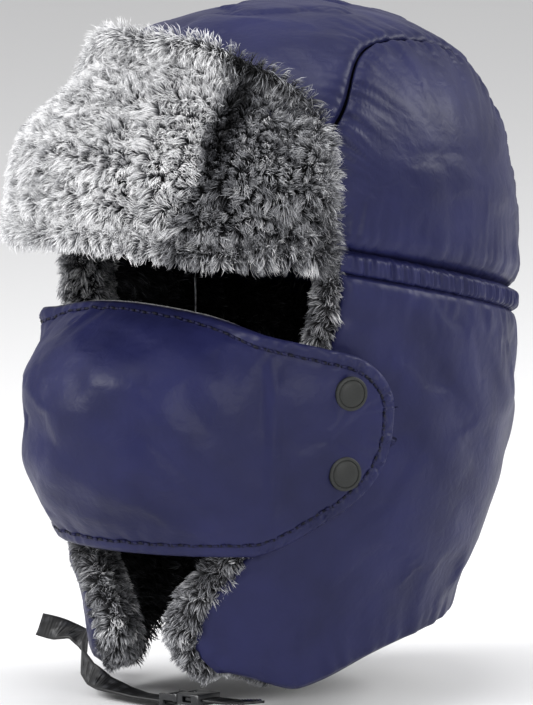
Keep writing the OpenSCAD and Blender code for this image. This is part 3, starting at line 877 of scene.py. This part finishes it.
crossings = []
for flip in (False, True):
    far, spots = (distance.T, mask_points.transpose(1, 0, 2)) if flip else (distance, mask_points)
    over, under = (v.T, u.T) if flip else (v, u)
    for k in range(far.shape[1]):
        for i in np.flatnonzero((far[:-1, k] > sewn_in) != (far[1:, k] > sewn_in)):
            f = (sewn_in - far[i, k]) / (far[i + 1, k] - far[i, k])
            turn = math.atan2(mix(over[i, k], over[i + 1, k], f) - 0.5,
                              mix(under[i, k], under[i + 1, k], f) / 90 - 1)
            crossings.append((turn, *mix(spots[i, k], spots[i + 1, k], f)))
crossings = np.array(sorted(crossings))[:, 1:]
ring = np.concatenate([crossings[-8:], crossings, crossings[:9]])
ring = np.stack([np.convolve(ring[:, k], np.ones(7) / 7, "same")[8:-8] for k in range(3)], 1)
sewn, sewn_on = walk(ring, stitch_pitch)
mask_flat, mask_out = mask_points.reshape(-1, 3), face_out(mask_points).reshape(-1, 3)
sewn_up = rows_of(np.array([mask_out[np.linalg.norm(mask_flat - p, axis=1).argmin()]
                            for p in sewn]))
mask_surface = BVHTree.FromObject(mask, bpy.context.evaluated_depsgraph_get())
for k, (p, up) in enumerate(zip(sewn, sewn_up)):
    hit = mask_surface.ray_cast(Vector((p + up * 6) * 0.001), Vector(-up), 0.012)[0]
    sewn[k] = np.array(hit) * 1000 if hit else p
stitches = stitch_line("mask_stitches", sewn + sewn_up * 0.12, sewn_up, sewn_on, stitch_long,
                       stitch_thick)
stitches.data.materials.append(thread)
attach(stitches, "mask")
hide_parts("mask_topstitching")

# The mask is lined with brushed tricot, a thin warp knit with a soft matt face. Its wales,
# about 0.8 mm apart on the real cloth, are drawn 5 mm apart.
tricot, _ = new_material("brushed_tricot")
where = add(tricot, "ShaderNodeTexCoord", {})
wales = add(tricot, "ShaderNodeTexWave", {"bands_direction": "X"}, Vector=where.outputs["UV"],
            Scale=band_span / 0.00503, Distortion=2.0, Detail=2.0)
nap = add(tricot, "ShaderNodeTexNoise", {}, Vector=where.outputs["Object"], Scale=900.0, Detail=3.0)
cloth_tone = add(tricot, "ShaderNodeMix", {"data_type": "RGBA"}, _0=wales.outputs["Fac"],
                 _6=paint("#26272c"), _7=paint("#3a3b42"))
height = add(tricot, "ShaderNodeMath", {"operation": "ADD"}, _0=wales.outputs["Fac"],
             _1=nap.outputs["Fac"])
relief = add(tricot, "ShaderNodeBump", {}, Height=height.outputs[0], Strength=0.4, Distance=0.0003)
shader = join(tricot, cloth_tone.outputs[2], relief, 0.85)
shader.inputs["Sheen Weight"].default_value = 0.3
v, u = np.meshgrid(np.linspace(0.012, 0.988, 44), np.linspace(2, 178, 120), indexing="ij")
lining_points = mask_skin(wing(u, 73.2), v, mask_deep - 0.9)
mask_lining = finish_piece(sew("mask_lining_cloth", lining_points), 1, 0.7)
mask_lining.data.materials.append(tricot)
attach(mask_lining, "mask")
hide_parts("mask_lining")

# Snap fasteners: domed caps on the mask, with sockets, studs and washers behind them, all
# shown as dark moulded acetal. It is matt and faintly waxy, with a grain of about 0.6 mm.


def moulded_plastic(name, dark, light, grain_depth, roughness, specular=0.5):
    """Plastic with the fine grain of its mould."""
    material, _ = new_material(name)
    where = add(material, "ShaderNodeTexCoord", {})
    grain = add(material, "ShaderNodeTexNoise", {}, Vector=where.outputs["Object"],
                Scale=1 / 0.0006, Detail=2.0)
    tint = add(material, "ShaderNodeValToRGB",
               {"stops": [(0.3, paint(dark)), (0.7, paint(light))]}, Fac=grain.outputs["Fac"])
    relief = add(material, "ShaderNodeBump", {}, Height=grain.outputs["Fac"],
                 Strength=grain_depth, Distance=0.0001)
    shader = join(material, tint.outputs["Color"], relief, roughness)
    shader.inputs["Specular IOR Level"].default_value = specular
    return material


acetal = moulded_plastic("moulded_acetal", "#121413", "#1c1e1c", 0.25, 0.5, 0.35)
for node in ("snap_sockets", "snap_studs", "snap_washers"):
    shape = frame["nodes"][node].data
    shape.materials.clear()
    shape.materials.append(acetal)
cap_r, cap_rim = 7.75, 1.5
bpy.ops.mesh.primitive_cylinder_add(vertices=48, radius=cap_r, depth=cap_rim)
cap = bpy.context.object
for face in cap.data.polygons:
    face.select = face.normal.z > 0.9
bpy.ops.object.mode_set(mode="EDIT")
bpy.ops.mesh.select_mode(type="FACE")
for inward, up in ((0.5, 0.35), (0.8, 0.1), (0.3, -0.3), (0.3, 0.25), (1.6, 0.4), (1.8, 0.22),
                   (1.5, 0.08)):
    bpy.ops.mesh.inset(thickness=inward, depth=up)
bpy.ops.object.mode_set(mode="OBJECT")
shape = np.array([corner.co[:] for corner in cap.data.vertices])
faces = [list(face.vertices) for face in cap.data.polygons]
bpy.data.objects.remove(cap)
caps_at, caps_faces = [], []
for side in (1, -1):
    for z in snap_heights:
        s = flap_scale(np.array(z))
        out = np.array([math.cos(snap_angle) / (half_w * s), -math.sin(snap_angle) / (half_l * s),
                        0])
        out = out / np.linalg.norm(out) * [side, 1, 1]
        level = np.cross([0, 0, 1], out)
        middle = flap_skin(snap_angle, np.array(z)) * [side, 1, 1]
        middle = middle + out * (mask_gap + mask_deep + 0.8)
        start = len(caps_at) * len(shape)
        caps_at.append(middle + shape[:, :1] * level + shape[:, 1:2] * np.array([0, 0, 1])
                       + shape[:, 2:] * out)
        caps_faces += [[start + k for k in face] for face in faces]
mesh = bpy.data.meshes.new("snap_cap_mouldings")
mesh.from_pydata((np.concatenate(caps_at) * 0.001).tolist(), [], caps_faces)
caps = bpy.data.objects.new("snap_cap_mouldings", mesh)
scene.collection.objects.link(caps)
bpy.ops.object.select_all(action="DESELECT")
bpy.context.view_layer.objects.active = caps
caps.select_set(True)
bpy.ops.object.shade_smooth_by_angle(angle=math.radians(40))
caps.data.materials.append(acetal)
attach(caps, "mask")
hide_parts("snap_caps")

# The chin strap is black ribbed webbing 11 mm wide, 1.2 mm thick: polypropylene yarn, woven
# with ribs across it 1.4 mm apart. It is sewn into the hems of both flaps. The bands of its
# material are drawn coarser, 8.8 mm apart along it and 5.65 mm across.
webbing, _ = new_material("polypropylene_webbing")
where = add(webbing, "ShaderNodeTexCoord", {})
ribs = add(webbing, "ShaderNodeTexWave", {"bands_direction": "X"}, Vector=where.outputs["UV"],
           Scale=band_span / 0.0088, Distortion=0.6, Detail=1.0)
yarns = add(webbing, "ShaderNodeTexWave", {"bands_direction": "Y"}, Vector=where.outputs["UV"],
            Scale=band_span / 0.00565)
weave = add(webbing, "ShaderNodeMath", {"operation": "MULTIPLY"}, _0=ribs.outputs["Fac"],
            _1=yarns.outputs["Fac"])
tint = add(webbing, "ShaderNodeValToRGB",
           {"stops": [(0.1, paint("#0f0f11")), (0.9, paint("#2c2d30"))]}, Fac=weave.outputs[0])
relief = add(webbing, "ShaderNodeBump", {}, Height=weave.outputs[0], Strength=0.8,
             Distance=0.0005)
join(webbing, tint.outputs["Color"], relief, 0.5)
web_w, web_t, rib_pitch = 11.0, 1.2, 1.4
buckle_at = np.array([13.0, -80.0, -189.0])


def weave_strap(name, stations, replaced, body):
    """Webbing through its stations, each a middle point and the direction of its width."""
    middle = np.array([p for p, _ in stations], float)
    width = rows_of(np.array([w for _, w in stations], float))
    knots = run_of(middle)
    at = np.linspace(0, knots[-1], max(24, int(knots[-1] / 0.5)))
    soft = np.hanning(9) / np.hanning(9).sum()

    def eased(values):
        line = np.stack([np.interp(at, knots, values[:, k]) for k in range(3)], 1)
        long = np.concatenate([np.repeat(line[:1], 8, 0), line, np.repeat(line[-1:], 8, 0)])
        smoother = np.stack([np.convolve(long[:, k], soft, "same") for k in range(3)], 1)[8:-8]
        smoother[0], smoother[-1] = line[0], line[-1]
        return smoother

    centre, across = eased(middle), rows_of(eased(width))
    up = rows_of(np.cross(np.gradient(centre, axis=0), across))
    v, _ = np.meshgrid(np.linspace(-0.5, 0.5, 14), at, indexing="ij")
    rib = 0.14 * np.cos(2 * np.pi * at / rib_pitch) * (1 - (2 * v) ** 8)
    points = centre + across * (v * web_w)[..., None] + up * (web_t / 2 + rib)[..., None]
    strap = sew(name, points)
    facing = np.array([face.normal[:] for face in strap.data.polygons])
    if (facing.mean(0) * up.mean(0)).sum() < 0:
        strap.data.flip_normals()
    finish_piece(strap, 0, web_t)
    strap.data.materials.append(webbing)
    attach(strap, body)
    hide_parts(replaced)


weave_strap("near_webbing", [
    (buckle_at + [13.2, 0, 0], (0, 1, 0)), (buckle_at + [17, 0, 0], (0, 1, 0)),
    ((38, -77, -189.4), (0.1, 1, 0)), ((45, -71, -189.6), (0.35, 1, 0))], "near_strap",
    frame["nodes"]["near_strap"]["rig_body"])
weave_strap("far_webbing", [
    (buckle_at + [-4, 0, -2.8], (0, 1, 0)), (buckle_at + [-16, 0, -2.8], (0, 1, 0)),
    (buckle_at + [-29, 0, -2.8], (0, 1, 0)), ((-26, -80, -190.6), (-0.1, 1, 0.1)),
    ((-39, -79, -188.8), (-0.15, 1, 0.4)), ((-51, -75.5, -186), (-0.2, 0.6, 1)),
    ((-62.5, -68.5, -182.6), (-0.1, 0.2, 1)), ((-71.5, -58.5, -179.4), (-0.05, 0.1, 1)),
    ((-77.8, -49.5, -177.6), (0, 0.1, 1))], "far_strap", frame["nodes"]["far_strap"]["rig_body"])
weave_strap("webbing_tail", [
    ((-78.4, -48.5, -177.4), (0, 0.1, 1)), ((-82.5, -45, -175.8), (0.3, 0.7, 0.7)),
    ((-87, -44.5, -175), (0.2, 1, 0.2)), ((-93, -46.5, -174), (0.2, 0.8, 0.6)),
    ((-99, -49, -172.8), (0.2, 0.2, 1)), ((-105, -51.5, -171.5), (0.4, 0, 1))], "strap_tail",
    frame["nodes"]["strap_tail"]["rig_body"])

# Bar tacks of the same navy thread hold the webbing to each hem, in close zigzag stitches.
tack_stitches = 13
for number, (lo, hi) in enumerate((((41.4, -74.6, -188.2), (46.6, -68.4, -188.3)),
                                   ((-62.6, -67.6, -185.6), (-61.6, -68.2, -179.2)))):
    a, b = np.array(lo), np.array(hi)
    spots = a + (b - a) * np.linspace(0, 1, tack_stitches)[:, None]
    out = np.tile([0.0, 0.0, 1.0] if number == 0 else [-0.6, -0.8, 0.0], (tack_stitches, 1))
    zigzag = np.where(np.arange(tack_stitches) % 2, 1, -1)[:, None]
    slant = np.cross(out, np.tile(b - a, (tack_stitches, 1))) + (b - a) * 0.25 * zigzag
    tack = stitch_line(("near", "far")[number] + "_bar_tack", spots, out, slant, 2.4, 0.55)
    tack.data.materials.append(thread)
    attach(tack, frame["nodes"]["strap_stitches"]["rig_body"])
    if number == 0:
        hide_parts("strap_stitches")

# The side-release buckle is moulded in black acetal, with softened edges. Its two halves and
# the two sprung prongs are separate mouldings that click together.
buckle_black = moulded_plastic("black_moulded_acetal", "#17181a", "#222326", 0.2, 0.35)
for node in ("buckle_socket", "buckle_plug", "buckle_prong_front", "buckle_prong_back"):
    part = lift(node, node + "_moulding", 0)
    finish_piece(part, bevel=0.3)
    part.data.materials.append(buckle_black)
    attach(part, frame["nodes"][node]["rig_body"])
    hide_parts(node)

# A blank woven label, sewn into the lining at the wearer's right. Its threads are too fine to
# see, so they are drawn 3.8 mm apart.
satin, _ = new_material("woven_label_satin")
where = add(satin, "ShaderNodeTexCoord", {})
threads = add(satin, "ShaderNodeTexWave", {"bands_direction": "Y"},
              Vector=where.outputs["UV"], Scale=band_span / 0.00377)
tint = add(satin, "ShaderNodeMix", {"data_type": "RGBA"}, _0=threads.outputs["Fac"],
           _6=paint("#b9bac0"), _7=paint("#dcdce0"))
relief = add(satin, "ShaderNodeBump", {}, Height=threads.outputs["Fac"], Strength=0.4,
             Distance=0.0002)
join(satin, tint.outputs[2], relief, 0.5)
low, high = (np.array(c) * 1000 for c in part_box("care_label"))
v, u = np.meshgrid(np.linspace(0, 1, 20), np.linspace(0, 1, 20), indexing="ij")
label_points = np.stack([mix(low[0] + 0.9, high[0], u),
                         mix(high[1], low[1] + 0.8, u) + 0.4 * np.sin(v * 3.1 + u),
                         mix(low[2], high[2], v)], -1)
label = finish_piece(sew("care_label_cloth", label_points), 1, 0.6)
label.data.materials.append(satin)
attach(label, "root")
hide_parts("care_label")

# A pale floor, even daylight all round, a large soft lamp at the wearer's right and weaker
# ones at the left, behind and above.
floor_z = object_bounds()[0].z - 0.002
bpy.ops.mesh.primitive_circle_add(vertices=96, radius=6, fill_type="NGON", location=(0, 0, floor_z))
floor = bpy.context.object
floor.name = "floor"
floor_paint, shader = new_material("pale_floor")
shader.inputs["Base Color"].default_value = paint("#e2e2e3")
shader.inputs["Roughness"].default_value = 0.9
floor.data.materials.append(floor_paint)
sky = bpy.data.worlds.new("daylight")
sky.use_nodes = True
sky.node_tree.nodes["Background"].inputs["Color"].default_value = paint("#ffffff")
sky.node_tree.nodes["Background"].inputs["Strength"].default_value = 0.55
scene.world = sky
for name, place, size, power in (("key", (-0.75, -1.5, 1.0), 0.9, 40),
                                 ("fill", (1.6, -0.6, 0.5), 0.8, 12),
                                 ("back", (0.9, 1.3, 0.9), 0.8, 20),
                                 ("above", (0.1, -0.1, 1.7), 0.7, 14)):
    lamp = bpy.data.lights.new(name, "AREA")
    lamp.size, lamp.energy = size, power
    light = bpy.data.objects.new(name, lamp)
    light.location = place
    towards = Vector((0, 0, -0.03)) - Vector(place)
    light.rotation_euler = towards.to_track_quat("-Z", "Y").to_euler()
    scene.collection.objects.link(light)
scene.view_settings.view_transform = "Standard"

# The camera stands at the wearer's left of the front, a little above, with a long lens.
azimuth, elevation, distance, seen_width = math.radians(42), math.radians(8), 8.0, 0.3208
back = Vector((math.sin(azimuth) * math.cos(elevation), -math.cos(azimuth) * math.cos(elevation),
               math.sin(elevation)))
right = Vector((math.cos(azimuth), math.sin(azimuth), 0))
aim = right * -0.0084 + back.cross(right) * -0.041
lens = bpy.data.cameras.new("camera")
lens.lens = lens.sensor_width * distance / seen_width
camera = bpy.data.objects.new("camera", lens)
camera.location = aim + back * distance
camera.rotation_euler = (-back).to_track_quat("-Z", "Y").to_euler()
scene.collection.objects.link(camera)
scene.camera = camera
